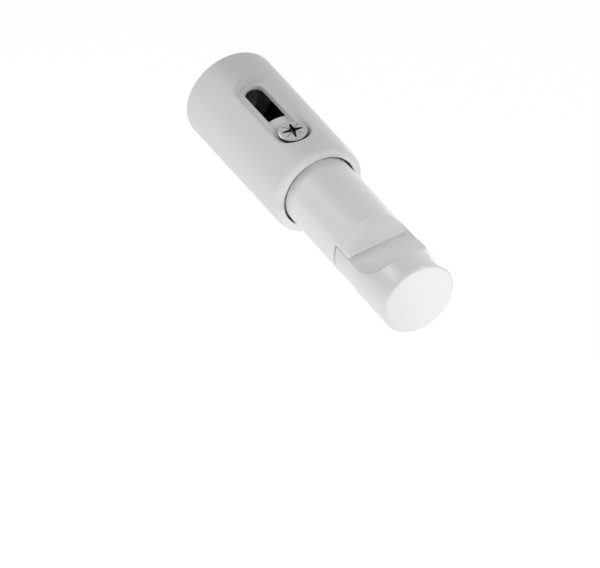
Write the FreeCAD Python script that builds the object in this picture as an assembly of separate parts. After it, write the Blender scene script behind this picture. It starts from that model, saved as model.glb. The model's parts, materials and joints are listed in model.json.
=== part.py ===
"""Telescopic wall bracket for a tubular towel radiator, in millimetres.

The origin is the centre of the wall face. +Y points into the wall, +Z up, and X runs along the
rails. The bracket reaches out along -Y: a sleeve on the wall, a stem that slides in it, and a
clamp that grips two neighbouring rails between a fork on the stem and a separate front head.
"""
import FreeCAD, Part
import math
import os

V = FreeCAD.Vector

# --- rails that the clamp grips -------------------------------------------------------------
RAIL_R = 11.0
RAIL_PITCH = 32.0
RAIL_Y = -95.0
SEAT_R = RAIL_R + 0.1

# --- wall sleeve ----------------------------------------------------------------------------
SLEEVE_LENGTH = 55.2
SLEEVE_R_WALL = 15.55
SLEEVE_R_MOUTH = 15.25
MOUTH_ROUND = 2.2
WALL_ROUND = 0.9
ROUND_STEPS = 5
BORE_R = 12.4
BASE_THICKNESS = 5.5
WALL_HOLE_R = 3.1
SCREW_SEAT_R = 6.5
SCREW_SEAT_DEPTH = 2.5
RELIEF_R_IN = 5.5
RELIEF_R_OUT = 12.9
RELIEF_DEPTH = 1.2
RIB_COUNT = 6
RIB_WIDTH = 1.6

# --- slot in the top of the sleeve ----------------------------------------------------------
LOCK_Y = -41.0
TRAVEL = 23.1
SLOT_R = 3.1
RECESS_R = 4.9
RECESS_TOP_R = 6.7
RECESS_FLOOR_Z = 13.1

# --- guide liner in the sleeve's bore -------------------------------------------------------
LINER_R = 11.9
LINER_SETBACK = 1.0

# --- stem -----------------------------------------------------------------------------------
STEM_R = 11.7
STEM_END_Y = -30.0
STEM_BORE_R = 8.5
WEB_REAR_Y = -72.0
WEB_FRONT_Y = -82.6
FORK_Y = -90.2
FORK_SLOT_HALF = 4.8
STEM_CHAMFER = 0.7
LUG_HALF_WIDTH = 6.2
LUG_BOTTOM_Z = 5.7
LUG_FRONT_Y = -47.5

# --- lock screw M5 and its square nut -------------------------------------------------------
M5_R = 2.45
M5_THREAD_R = 2.52
M5_HOLE_R = 2.75
LOCK_HEAD_R = 4.6
LOCK_HEAD_HEIGHT = 1.6
LOCK_CROWN = 0.7
LOCK_HEAD_GAP = 0.02
LOCK_LENGTH = 6.0
CROSS_SPAN = 5.2
CROSS_WIDTH = 0.95
CROSS_DEPTH = 1.1
NUT_SIDE = 8.0
NUT_HEIGHT = 2.5
NUT_BOTTOM_Z = 7.5
NUT_PLAY = 0.05

# --- clamp screw M5 x 35, washers and moulded-in insert -------------------------------------
WASHER_R = 5.0
WASHER_HOLE_R = 2.65
WASHER_T = 1.0
SPRING_R = 4.6
SPRING_HOLE_R = 2.6
SPRING_T = 1.2
SPRING_SPLIT = 1.0
CAP_R = 4.25
CAP_HEIGHT = 5.0
CAP_CHAMFER = 0.4
HEX_AF = 4.0
HEX_DEPTH = 2.6
CLAMP_LENGTH = 35.0
INSERT_FRONT_Y = -104.5
INSERT_LENGTH = 10.0
INSERT_R = 3.5
INSERT_GROOVE_R = 3.1
INSERT_GROOVE = 2.0

# --- clamp head -----------------------------------------------------------------------------
HEAD_R = 11.95
HEAD_FACE_Y = -112.6
HEAD_FACE_ROUND = 0.9
TONGUE_HALF = 4.6
TONGUE_END_Y = -83.5
TONGUE_CHAMFER = 0.8
HEAD_HOLE_FRONT_Y = -105.6

ALONG_Y = V(0, 1, 0)
UP = V(0, 0, 1)
WEB_WASHER_Y = WEB_REAR_Y + WASHER_T
CAP_SEAT_Y = WEB_WASHER_Y + SPRING_T


def rod_y(radius, y_from, y_to):
    """A cylinder on the bracket's axis between two places along Y."""
    return Part.makeCylinder(radius, y_to - y_from, V(0, y_from, 0), ALONG_Y)


def rod_z(radius, z_from, z_to, y):
    """An upright cylinder over the axis at a place along Y."""
    return Part.makeCylinder(radius, z_to - z_from, V(0, y, z_from), UP)


def block(x_half, y_from, y_to, z_from, z_to):
    """A box centred on X = 0."""
    return Part.makeBox(2 * x_half, y_to - y_from, z_to - z_from, V(-x_half, y_from, z_from))


def revolved(points):
    """A solid turned about the Y axis from (radius, y) points."""
    wire = Part.makePolygon([V(r, y, 0) for r, y in points + points[:1]])
    return Part.Face(wire).revolve(V(0, 0, 0), ALONG_Y, 360)


def rounded(radius, y, size, inward, steps=ROUND_STEPS):
    """Profile points of a rounded outer corner at (radius, y), from its side to its end face.

    inward is +1 where the material lies on the +Y side of the corner and -1 where it lies on -Y.
    """
    points = []
    for step in range(steps + 1):
        angle = math.radians(90 * step / steps)
        across = size * (1 - math.cos(angle))
        along = size * (1 - math.sin(angle))
        points.append((radius - across, y + inward * along))
    return points


def stadium(radius, y_near, y_far, z_from, z_to):
    """An upright prism with two straight sides along Y and two half-round ends."""
    ends = rod_z(radius, z_from, z_to, y_near).fuse(rod_z(radius, z_from, z_to, y_far))
    return ends.fuse(block(radius, y_near, y_far, z_from, z_to)).removeSplitter()


def tapered_stadium(radius, top_radius, y_near, y_far, z_from, z_to):
    """A stadium that widens upwards."""
    height = z_to - z_from
    ends = [Part.makeCone(radius, top_radius, height, V(0, y, z_from), UP) for y in (y_near, y_far)]
    outline = [(-radius, z_from), (radius, z_from), (top_radius, z_to), (-top_radius, z_to)]
    wire = Part.makePolygon([V(x, y_near, z) for x, z in outline + outline[:1]])
    middle = Part.Face(wire).extrude(V(0, y_far - y_near, 0))
    return ends[0].fuse(ends[1]).fuse(middle).removeSplitter()


def rails():
    """The two neighbouring rails, at the radius of the seats that are cut for them."""
    pair = []
    for z in (-RAIL_PITCH / 2, RAIL_PITCH / 2):
        start = V(-2 * HEAD_R, RAIL_Y, z)
        pair.append(Part.makeCylinder(SEAT_R, 4 * HEAD_R, start, V(1, 0, 0)))
    return pair[0].fuse(pair[1])


def ring_edges(shape, radius, y):
    """The full circles of one radius at one place along Y."""
    found = []
    for edge in shape.Edges:
        curve = edge.Curve
        if not isinstance(curve, Part.Circle):
            continue
        if abs(curve.Radius - radius) < 0.02 and abs(curve.Center.y - y) < 0.02:
            found.append(edge)
    return found


def sleeve_shell():
    """The turned form of the sleeve: drafted outside, straight bore, closed base."""
    mouth = -SLEEVE_LENGTH
    outside = rounded(SLEEVE_R_WALL, 0, WALL_ROUND, -1, 3)[::-1]
    outside += rounded(SLEEVE_R_MOUTH, mouth, MOUTH_ROUND, 1)
    return revolved([(WALL_HOLE_R, 0)] + outside + [
        (BORE_R, mouth),
        (BORE_R, -BASE_THICKNESS),
        (SCREW_SEAT_R, -BASE_THICKNESS),
        (SCREW_SEAT_R, SCREW_SEAT_DEPTH - BASE_THICKNESS),
        (WALL_HOLE_R, SCREW_SEAT_DEPTH - BASE_THICKNESS),
    ])


def base_relief():
    """Pockets in the wall face that leave a rim, a hub and radial ribs to bear on the wall."""
    ring = rod_y(RELIEF_R_OUT, -RELIEF_DEPTH, 0).cut(rod_y(RELIEF_R_IN, -RELIEF_DEPTH, 0))
    for index in range(RIB_COUNT):
        rib = Part.makeBox(RELIEF_R_OUT, RELIEF_DEPTH, RIB_WIDTH, V(0, -RELIEF_DEPTH, -RIB_WIDTH / 2))
        rib.rotate(V(0, 0, 0), ALONG_Y, index * 360 / RIB_COUNT)
        ring = ring.cut(rib)
    return ring


def wall_sleeve():
    """The moulded sleeve that is screwed to the wall, with its recessed slot on top."""
    far = LOCK_Y + TRAVEL
    recess = tapered_stadium(RECESS_R, RECESS_TOP_R, LOCK_Y, far, RECESS_FLOOR_Z, SLEEVE_R_WALL)
    body = sleeve_shell().cut(base_relief()).cut(recess)
    return body.cut(stadium(SLOT_R, LOCK_Y, far, 0, SLEEVE_R_WALL))


def guide_liner():
    """Thin liner in the sleeve's bore that the stem runs in, slotted like the sleeve."""
    front = LINER_SETBACK - SLEEVE_LENGTH
    tube = rod_y(BORE_R, front, -BASE_THICKNESS).cut(rod_y(LINER_R, front, -BASE_THICKNESS))
    return tube.cut(stadium(SLOT_R, LOCK_Y, LOCK_Y + TRAVEL, 0, BORE_R + 1))


def nut_lug():
    """The thickening under the stem's top that carries the square nut."""
    lug = block(LUG_HALF_WIDTH, LUG_FRONT_Y, STEM_END_Y, LUG_BOTTOM_Z, STEM_BORE_R)
    return lug.common(rod_y(STEM_BORE_R + 0.2, LUG_FRONT_Y, STEM_END_Y))


def nut_pocket():
    """The pocket that the nut slides into from the stem's open end."""
    reach = NUT_SIDE / 2 + NUT_PLAY
    z_from = NUT_BOTTOM_Z - NUT_PLAY
    return block(reach, LOCK_Y - reach, STEM_END_Y, z_from, NUT_BOTTOM_Z + NUT_HEIGHT + NUT_PLAY)


def stem():
    """The sliding stem: hollow behind, a web for the clamp screw, and the fork in front."""
    body = rod_y(STEM_R, FORK_Y, STEM_END_Y)
    body = body.makeChamfer(STEM_CHAMFER, ring_edges(body, STEM_R, STEM_END_Y))
    body = body.cut(rod_y(STEM_BORE_R, WEB_REAR_Y, STEM_END_Y))
    body = body.fuse(nut_lug()).cut(nut_pocket())
    body = body.cut(rod_z(M5_HOLE_R, 0, STEM_R + 1, LOCK_Y))
    body = body.cut(rod_y(M5_HOLE_R, FORK_Y, WEB_REAR_Y))
    body = body.cut(block(STEM_R + 1, FORK_Y, WEB_FRONT_Y, -FORK_SLOT_HALF, FORK_SLOT_HALF))
    return body.cut(rails()).removeSplitter()


def lock_screw():
    """M5 pan-head screw that runs in the slot and pulls the stem against the sleeve."""
    seat = RECESS_FLOOR_Z + LOCK_HEAD_GAP
    crown = seat + LOCK_HEAD_HEIGHT
    pan = [(0, 0)] + [(LOCK_HEAD_R, 0)] + rounded(LOCK_HEAD_R, LOCK_HEAD_HEIGHT, LOCK_CROWN, -1, 3)
    head = revolved(pan + [(0, LOCK_HEAD_HEIGHT)])
    head.rotate(V(0, 0, 0), V(1, 0, 0), 90)
    head.translate(V(0, LOCK_Y, seat))
    screw = head.fuse(rod_z(M5_R, seat - LOCK_LENGTH, seat, LOCK_Y))
    for turn in (0, 90):
        arm = block(CROSS_SPAN / 2, -CROSS_WIDTH / 2, CROSS_WIDTH / 2, crown - CROSS_DEPTH, crown)
        arm.rotate(V(0, 0, 0), UP, turn)
        arm.translate(V(0, LOCK_Y, 0))
        screw = screw.cut(arm)
    return screw


def lock_nut():
    """Square nut in the stem's lug."""
    half = NUT_SIDE / 2
    nut = block(half, LOCK_Y - half, LOCK_Y + half, NUT_BOTTOM_Z, NUT_BOTTOM_Z + NUT_HEIGHT)
    nut = nut.makeChamfer(0.4, [e for e in nut.Edges if abs(e.BoundBox.ZLength - NUT_HEIGHT) < 0.01])
    return nut.cut(rod_z(M5_THREAD_R, NUT_BOTTOM_Z, NUT_BOTTOM_Z + NUT_HEIGHT, LOCK_Y))


def clamp_washer():
    """Plain washer on the stem's web."""
    ring = rod_y(WASHER_R, WEB_REAR_Y, WEB_WASHER_Y)
    return ring.cut(rod_y(WASHER_HOLE_R, WEB_REAR_Y, WEB_WASHER_Y))


def clamp_spring_washer():
    """Split spring washer under the clamp screw's head."""
    ring = rod_y(SPRING_R, WEB_WASHER_Y, CAP_SEAT_Y)
    ring = ring.cut(rod_y(SPRING_HOLE_R, WEB_WASHER_Y, CAP_SEAT_Y))
    split = Part.makeBox(SPRING_R + 1, SPRING_T, SPRING_SPLIT, V(0, WEB_WASHER_Y, -SPRING_SPLIT / 2))
    return ring.cut(split)


def clamp_screw():
    """M5 x 35 cap screw that draws the head towards the stem's fork."""
    cap = rod_y(CAP_R, CAP_SEAT_Y, CAP_SEAT_Y + CAP_HEIGHT)
    cap = cap.makeChamfer(CAP_CHAMFER, ring_edges(cap, CAP_R, CAP_SEAT_Y + CAP_HEIGHT))
    corner = HEX_AF / math.sqrt(3)
    hexagon = Part.makePolygon([
        V(corner * math.cos(math.radians(60 * k)), 0, corner * math.sin(math.radians(60 * k)))
        for k in range(7)
    ])
    socket = Part.Face(hexagon).extrude(V(0, HEX_DEPTH, 0))
    socket.translate(V(0, CAP_SEAT_Y + CAP_HEIGHT - HEX_DEPTH, 0))
    return cap.cut(socket).fuse(rod_y(M5_R, CAP_SEAT_Y - CLAMP_LENGTH, CAP_SEAT_Y))


def insert_blank():
    """The outside of the threaded insert, which is also its bed in the clamp head."""
    rear = INSERT_FRONT_Y + INSERT_LENGTH
    groove_from = (INSERT_FRONT_Y + rear - INSERT_GROOVE) / 2
    groove_to = groove_from + INSERT_GROOVE
    blank = rod_y(INSERT_R, INSERT_FRONT_Y, groove_from)
    blank = blank.fuse(rod_y(INSERT_GROOVE_R, groove_from, groove_to))
    return blank.fuse(rod_y(INSERT_R, groove_to, rear))


def head_insert():
    """Brass insert that the clamp screw threads into."""
    return insert_blank().cut(rod_y(M5_THREAD_R, INSERT_FRONT_Y, INSERT_FRONT_Y + INSERT_LENGTH))


def clamp_head():
    """Front half of the clamp: a plain round head with two rail seats and a guide tongue."""
    edge = rounded(HEAD_R, HEAD_FACE_Y, HEAD_FACE_ROUND, 1, 4)
    head = revolved([(0, HEAD_FACE_Y), (0, RAIL_Y), (HEAD_R, RAIL_Y)] + edge).cut(rails())
    tongue = rod_y(STEM_R, RAIL_Y, TONGUE_END_Y)
    tongue = tongue.makeChamfer(TONGUE_CHAMFER, ring_edges(tongue, STEM_R, TONGUE_END_Y))
    tongue = tongue.common(block(HEAD_R, RAIL_Y, TONGUE_END_Y, -TONGUE_HALF, TONGUE_HALF))
    head = head.fuse(tongue).removeSplitter()
    return head.cut(rod_y(M5_HOLE_R, HEAD_HOLE_FRONT_Y, TONGUE_END_Y)).cut(insert_blank())


PIECES = {
    "wall_sleeve": wall_sleeve,
    "guide_liner": guide_liner,
    "stem": stem,
    "lock_screw": lock_screw,
    "lock_nut": lock_nut,
    "clamp_washer": clamp_washer,
    "clamp_spring_washer": clamp_spring_washer,
    "clamp_screw": clamp_screw,
    "head_insert": head_insert,
    "clamp_head": clamp_head,
}

os.makedirs("parts", exist_ok=True)
for name, make in PIECES.items():
    shape = make()
    if not shape.isValid() or len(shape.Solids) != 1:
        raise ValueError(f"{name} has {len(shape.Solids)} solids, valid {shape.isValid()}")
    shape.Solids[0].exportStep(f"parts/{name}.step")
    print(f"{name}: {shape.Volume:.1f} mm3")
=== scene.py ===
"""Looks of a telescopic radiator wall bracket: finishes, fine forms, light and camera."""
import json
import logging
import math
from dataclasses import dataclass, field
from enum import Enum
from typing import Any, Callable, ClassVar, Dict, List, Optional, Protocol, Tuple

import bmesh
import bpy
from mathutils import Matrix, Vector


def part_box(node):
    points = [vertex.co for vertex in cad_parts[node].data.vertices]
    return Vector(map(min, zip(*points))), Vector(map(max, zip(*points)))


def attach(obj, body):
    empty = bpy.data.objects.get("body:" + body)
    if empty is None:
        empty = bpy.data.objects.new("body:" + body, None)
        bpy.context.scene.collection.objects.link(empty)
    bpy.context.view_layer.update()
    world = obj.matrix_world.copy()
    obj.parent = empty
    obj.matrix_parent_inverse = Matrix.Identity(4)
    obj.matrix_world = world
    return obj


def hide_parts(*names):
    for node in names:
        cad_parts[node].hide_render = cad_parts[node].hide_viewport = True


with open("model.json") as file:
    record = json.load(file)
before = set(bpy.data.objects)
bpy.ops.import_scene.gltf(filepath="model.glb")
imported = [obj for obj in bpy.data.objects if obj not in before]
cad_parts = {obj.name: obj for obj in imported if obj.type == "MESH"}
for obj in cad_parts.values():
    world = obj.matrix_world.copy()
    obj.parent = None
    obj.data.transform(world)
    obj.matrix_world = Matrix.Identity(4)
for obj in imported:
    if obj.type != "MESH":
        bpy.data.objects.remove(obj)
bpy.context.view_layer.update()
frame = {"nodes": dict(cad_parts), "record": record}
LOG = logging.getLogger("bracket")
MM = 0.001
# Millimetres: the welding distance, the rails' axes and beds, the slot's ends, a bed's soft edge,
# and how deep and wide a rolled thread's section is.
WELD = 0.0005
RAIL_AXIS, RAIL_OFFSET, RAIL_SEAT = -95.0, 16.0, 11.1
SLOT_NEAR, SLOT_FAR = -41.0, -17.9
BED_EDGE = 0.25
THREAD_DEPTH, THREAD_WIDTH = 0.62, 0.64

Colour = Tuple[float, float, float]
Point = Tuple[float, float]
Spot = Tuple[float, float, float]
Bend = Tuple[float, float, bool]
Mesh = bmesh.types.BMesh
Vertex = bmesh.types.BMVert
Loop = List[Vertex]
Socket = bpy.types.NodeSocket


@dataclass
class Wiring:
    """Adds nodes to one tree and feeds their inputs."""

    tree: bpy.types.NodeTree

    def add(self, kind: str, inputs: Optional[Dict[Any, Any]] = None, **settings: Any) -> bpy.types.Node:
        """Add a node.

        Args:
            kind: the node's type.
            inputs: what its inputs get, as in feed().
            settings: the node's own properties.
        Returns:
            The new node.
        """
        node = self.tree.nodes.new(kind)
        for name, value in settings.items():
            setattr(node, name, value)
        self.feed(node, inputs or {})
        return node

    def feed(self, node: bpy.types.Node, inputs: Dict[Any, Any]) -> None:
        """Give a node's inputs a link or a constant.

        Args:
            node: the node.
            inputs: for each input's name or number, another node's output or a plain value.
        """
        for key, value in inputs.items():
            if isinstance(value, Socket):
                self.tree.links.new(value, node.inputs[key])
            else:
                node.inputs[key].default_value = value

    def ramp(self, factor: Socket, *stops: Tuple[float, Colour]) -> Socket:
        """Run a factor through a ramp of two colours.

        Args:
            factor: the socket that drives it.
            stops: the place and colour of both stops.
        Returns:
            The colour's socket.
        """
        node = self.add("ShaderNodeValToRGB", {"Fac": factor})
        for element, (place, colour) in zip(node.color_ramp.elements, stops):
            element.position, element.color = place, (*colour, 1)
        return node.outputs["Color"]


def new_material(name: str) -> Tuple[bpy.types.Material, Wiring, bpy.types.Node]:
    """Start a node material.

    Args:
        name: its name.
    Returns:
        The material, its wiring and its shader.
    """
    material = bpy.data.materials.new(name)
    material.use_nodes = True
    return material, Wiring(material.node_tree), material.node_tree.nodes["Principled BSDF"]


@dataclass(frozen=True)
class Moulding:
    """Painted or moulded white surface with a fine skin and a faint cloudiness."""

    name: str
    colour: Colour
    roughness: float
    skin: float = 0.06
    grain: float = 2600.0
    cloud: float = 90.0
    shade: float = 0.985
    spread: float = 0.05
    relief: float = 0.0001
    refraction: float = 1.46

    def build(self) -> bpy.types.Material:
        """Make the material.

        Returns:
            A node material on object coordinates.
        """
        material, wiring, shader = new_material(self.name)
        place = wiring.add("ShaderNodeTexCoord").outputs["Object"]
        fine = wiring.add("ShaderNodeTexNoise", {"Vector": place, "Scale": self.grain, "Detail": 3.0})
        broad = wiring.add("ShaderNodeTexNoise", {"Vector": place, "Scale": self.cloud, "Detail": 2.0})
        cloud = broad.outputs["Fac"]
        low = tuple(c * self.shade for c in self.colour)
        rough = wiring.add("ShaderNodeMapRange", {
            "Value": cloud, "To Min": self.roughness - self.spread, "To Max": self.roughness + self.spread})
        bump = wiring.add("ShaderNodeBump", {
            "Height": fine.outputs["Fac"], "Strength": self.skin, "Distance": self.relief})
        wiring.feed(shader, {
            "IOR": self.refraction, "Base Color": wiring.ramp(cloud, (0.3, low), (0.7, self.colour)),
            "Roughness": rough.outputs["Result"], "Normal": bump.outputs["Normal"]})
        return material


@dataclass(frozen=True)
class Metal:
    """Plated or turned metal with fine tool marks."""

    name: str
    colour: Colour
    roughness: float
    marks: ClassVar[float] = 900.0
    dull: ClassVar[float] = 0.9
    smoothest: ClassVar[float] = 0.7
    roughest: ClassVar[float] = 1.4

    def build(self) -> bpy.types.Material:
        """Make the material.

        Returns:
            A node material on object coordinates.
        """
        material, wiring, shader = new_material(self.name)
        place = wiring.add("ShaderNodeTexCoord").outputs["Object"]
        noise = wiring.add("ShaderNodeTexNoise", {"Vector": place, "Scale": self.marks, "Detail": 4.0})
        marks = noise.outputs["Fac"]
        rough = wiring.add("ShaderNodeMapRange", {
            "Value": marks, "To Min": self.roughness * self.smoothest,
            "To Max": self.roughness * self.roughest})
        low = tuple(c * self.dull for c in self.colour)
        tint = wiring.ramp(marks, (0.35, low), (0.65, self.colour))
        wiring.feed(shader, {"Metallic": 1.0, "Base Color": self.shaded(wiring, place, tint),
                             "Roughness": rough.outputs["Result"]})
        return material

    def shaded(self, wiring: Wiring, place: Socket, colour: Socket) -> Socket:
        """The colour as it is: a plain metal is the same all over."""
        return colour


@dataclass(frozen=True)
class HeadMetal(Metal):
    """Metal of a domed screw head, dull and dark in its cross and round its rim.

    The dark in the cross and round the rim is painted shade and dark reflection. The head's axis
    is upright at axis_y. Lengths are in metres. The shares are of the dome's height: how far the bowl
    rises to the rim, and where the painted shade begins and is full below it.
    """

    axis_y: float
    radius: float
    top: float
    dome: float
    # Colour of the painted shade and dark reflection in the cross and round the rim
    painted_shade: Colour
    bowl: ClassVar[float] = 0.55
    full_dark: ClassVar[float] = -0.36
    no_dark: ClassVar[float] = -0.15

    def shaded(self, wiring: Wiring, place: Socket, colour: Socket) -> Socket:
        """Darken what lies below a shallow bowl laid over the dome.

        Args:
            wiring: the material's wiring.
            place: the socket with object coordinates.
            colour: the socket with the metal's colour.
        Returns:
            The socket with the darkened colour.
        """
        # Painted shade and dark reflection: the colour darkens below a shallow bowl over the dome, which
        # takes in the cross and the rim
        centred = wiring.add("ShaderNodeMapping", {
            "Vector": place, "Location": (0.0, -self.axis_y, -self.top)})
        parts = wiring.add("ShaderNodeSeparateXYZ", {"Vector": centred.outputs["Vector"]}).outputs
        flat = wiring.add("ShaderNodeCombineXYZ", {"X": parts["X"], "Y": parts["Y"]})
        reach = wiring.add("ShaderNodeVectorMath", {0: flat.outputs["Vector"]}, operation="LENGTH")
        square = wiring.add("ShaderNodeMath", {0: reach.outputs["Value"], 1: 2.0}, operation="POWER")
        height = wiring.add("ShaderNodeMath", {
            0: square.outputs["Value"], 1: self.bowl * self.dome / self.radius ** 2, 2: parts["Z"]},
            operation="MULTIPLY_ADD")
        share = wiring.add("ShaderNodeMapRange", {
            "Value": height.outputs["Value"], "From Min": self.full_dark * self.dome,
            "From Max": self.no_dark * self.dome})
        mix = wiring.add("ShaderNodeMix", {0: share.outputs["Result"]}, data_type="RGBA")
        first, second = [socket for socket in mix.inputs if socket.type == "RGBA"]
        # The painted shade's colour
        first.default_value = (*self.painted_shade, 1)
        wiring.tree.links.new(colour, second)
        return next(socket for socket in mix.outputs if socket.type == "RGBA")


FINISHES = {
    "sleeve_white": Moulding("sleeve_white", (0.86, 0.85, 0.84), 0.5),
    # The liner's near-black is partly its own black plastic and partly painted shade for the dark deep in the
    # slot and in the mouth's gap
    "liner_black": Moulding("liner_black", (0.006, 0.006, 0.006), 0.7),
    # The stem's white is lighter than the sleeve's: partly its own tone, partly painted light for what the
    # radiator's rails, which are left out, reflect onto the stem
    "stem_white": Moulding("stem_white", (0.92, 0.91, 0.90), 0.45),
    "head_white": Moulding("head_white", (0.87, 0.868, 0.862), 0.3),
    # The screw's head gets painted shade and dark reflection in its cross and round its rim
    "nickel_screw": HeadMetal("nickel_screw", (0.43, 0.425, 0.42), 0.33, axis_y=-0.041, radius=0.0046,
                              top=0.01472, dome=0.0006, painted_shade=(0.04, 0.037, 0.034)),
    "zinc_steel": Metal("zinc_steel", (0.60, 0.61, 0.63), 0.35),
    "brass": Metal("brass", (0.75, 0.58, 0.28), 0.3),
}


@dataclass(frozen=True)
class Lamp:
    """One soft round lamp of the studio, aimed at the bracket.

    The level is the light that it throws on a surface facing it at the bracket, where a total of 1
    shows a colour as it is written.
    """

    name: str
    towards: Spot
    level: float
    away: float = 0.5
    size: float = 0.22

    def build(self, middle: Vector) -> None:
        """Place the lamp.

        Args:
            middle: the point that it lights.
        """
        data = bpy.data.lights.new(self.name, "AREA")
        data.shape = "DISK"
        data.size = self.size
        data.energy = self.level * math.pi ** 2 * self.away ** 2
        piece = bpy.data.objects.new(self.name, data)
        bpy.context.scene.collection.objects.link(piece)
        direction = Vector(self.towards).normalized()
        piece.location = middle + direction * self.away
        piece.rotation_euler = (-direction).to_track_quat("-Z", "Y").to_euler()
        piece.visible_camera = False


LAMPS = [
    Lamp("back_top", (-0.42, 0.67, 0.62), 0.241),
    Lamp("left_side", (-0.97, -0.26, -0.03), 0.346),
    Lamp("front_left", (-0.38, -0.90, -0.21), 0.243),
    Lamp("right_side", (0.88, 0.41, -0.27), 0.253),
    Lamp("left_low", (-0.90, 0.29, -0.32), 0.077),
    Lamp("front_low", (0.46, -0.60, -0.65), 0.159),
    Lamp("front_right", (0.30, -0.85, -0.43), 0.129),
    Lamp("near_top", (0.54, -0.54, 0.65), 0.344, 0.185, 0.08),
]


@dataclass
class Studio:
    """Floor, lamps, background and camera. Lengths are in metres and turns in degrees."""

    floor_half: float = 3.0
    floor_level: float = -0.4
    room: float = 0.186
    lit: Spot = (0.0, -0.06, 0.0)
    lens: float = 267.7
    eye: Spot = (-0.45021, -0.94900, 0.89489)
    heading: float = 26.2253
    tilt: float = -42.952
    roll: float = -5.9452

    def build(self) -> None:
        """Set everything that isn't the bracket."""
        self.floor()
        self.world()
        for lamp in LAMPS:
            lamp.build(Vector(self.lit))
        self.camera()

    def floor(self) -> None:
        """A wide pale floor well below the bracket, since the wall carries it."""
        mesh = bpy.data.meshes.new("floor")
        half, level = self.floor_half, self.floor_level
        corners = [(-half, -half, level), (half, -half, level), (half, half, level), (-half, half, level)]
        mesh.from_pydata(corners, [], [(0, 1, 2, 3)])
        piece = bpy.data.objects.new("floor", mesh)
        bpy.context.scene.collection.objects.link(piece)
        material, wiring, plain = new_material("pale_floor")
        wiring.feed(plain, {"Base Color": (0.8, 0.8, 0.8, 1), "Roughness": 0.9})
        shadowed = wiring.add("ShaderNodeBsdfDiffuse", {"Color": (0.15, 0.15, 0.15, 1)})
        pale = wiring.add("ShaderNodeEmission", {"Strength": 0.95})
        both = wiring.add("ShaderNodeAddShader", {0: shadowed.outputs[0], 1: pale.outputs[0]})
        output = wiring.tree.nodes["Material Output"]
        self.white_to_sight(wiring, plain.outputs[0], both.outputs[0], output)
        mesh.materials.append(material)

    def white_to_sight(self, wiring: Wiring, plain: Socket, white: Socket, output: bpy.types.Node) -> None:
        """Show white to the eye, through glass and in reflections, and the plain side to light.

        Args:
            wiring: the wiring of the material or the world.
            plain: the shader that lights the bracket.
            white: the shader that is seen.
            output: the node that takes the result.
        """
        path = wiring.add("ShaderNodeLightPath").outputs
        direct = wiring.add("ShaderNodeMath", {
            0: path["Is Camera Ray"], 1: path["Is Transmission Ray"]}, operation="MAXIMUM")
        seen = wiring.add("ShaderNodeMath", {
            0: direct.outputs[0], 1: path["Is Glossy Ray"]}, operation="MAXIMUM")
        mix = wiring.add("ShaderNodeMixShader", {0: seen.outputs[0], 1: plain, 2: white})
        wiring.feed(output, {"Surface": mix.outputs[0]})

    def world(self) -> None:
        """White behind the bracket, and an even dim room for its light."""
        world = bpy.data.worlds.new("room")
        bpy.context.scene.world = world
        world.use_nodes = True
        wiring, nodes = Wiring(world.node_tree), world.node_tree.nodes
        plain = nodes["Background"]
        wiring.feed(plain, {"Color": (1, 1, 1, 1), "Strength": self.room})
        white = wiring.add("ShaderNodeBackground", {"Color": (1, 1, 1, 1), "Strength": 1.0})
        self.white_to_sight(wiring, plain.outputs[0], white.outputs[0], nodes["World Output"])

    def camera(self) -> None:
        """A long lens above and to the left of the clamp's end."""
        data = bpy.data.cameras.new("camera")
        data.lens = self.lens
        data.sensor_width = 36.0
        data.clip_start, data.clip_end = 0.05, 20
        piece = bpy.data.objects.new("camera", data)
        bpy.context.scene.collection.objects.link(piece)
        turn, tilt, roll = (math.radians(angle) for angle in (self.heading, self.tilt, self.roll))
        forward = Vector((math.sin(turn) * math.cos(tilt), math.cos(turn) * math.cos(tilt), math.sin(tilt)))
        right = Vector((math.cos(turn), -math.sin(turn), 0))
        up = right.cross(forward)
        across = right * math.cos(roll) + up * math.sin(roll)
        upward = up * math.cos(roll) - right * math.sin(roll)
        axes = Matrix((across, upward, -forward)).transposed().to_4x4()
        piece.matrix_world = Matrix.Translation(Vector(self.eye)) @ axes
        bpy.context.scene.camera = piece


def bridge(mesh: Mesh, loops: List[Loop]) -> None:
    """Join each closed loop to the next with quads, or triangles where they share a vertex.

    Args:
        mesh: the mesh that grows.
        loops: closed loops of equal count.
    """
    for a, b in zip(loops, loops[1:]):
        for k in range(len(a)):
            n = (k + 1) % len(a)
            corners = list(dict.fromkeys((a[k], a[n], b[n], b[k])))
            if len(corners) > 2:
                mesh.faces.new(corners)


def seal(mesh: Mesh) -> None:
    """Weld what touches and turn every face outwards."""
    bmesh.ops.remove_doubles(mesh, verts=mesh.verts, dist=WELD)
    bmesh.ops.recalc_face_normals(mesh, faces=mesh.faces)


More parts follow.
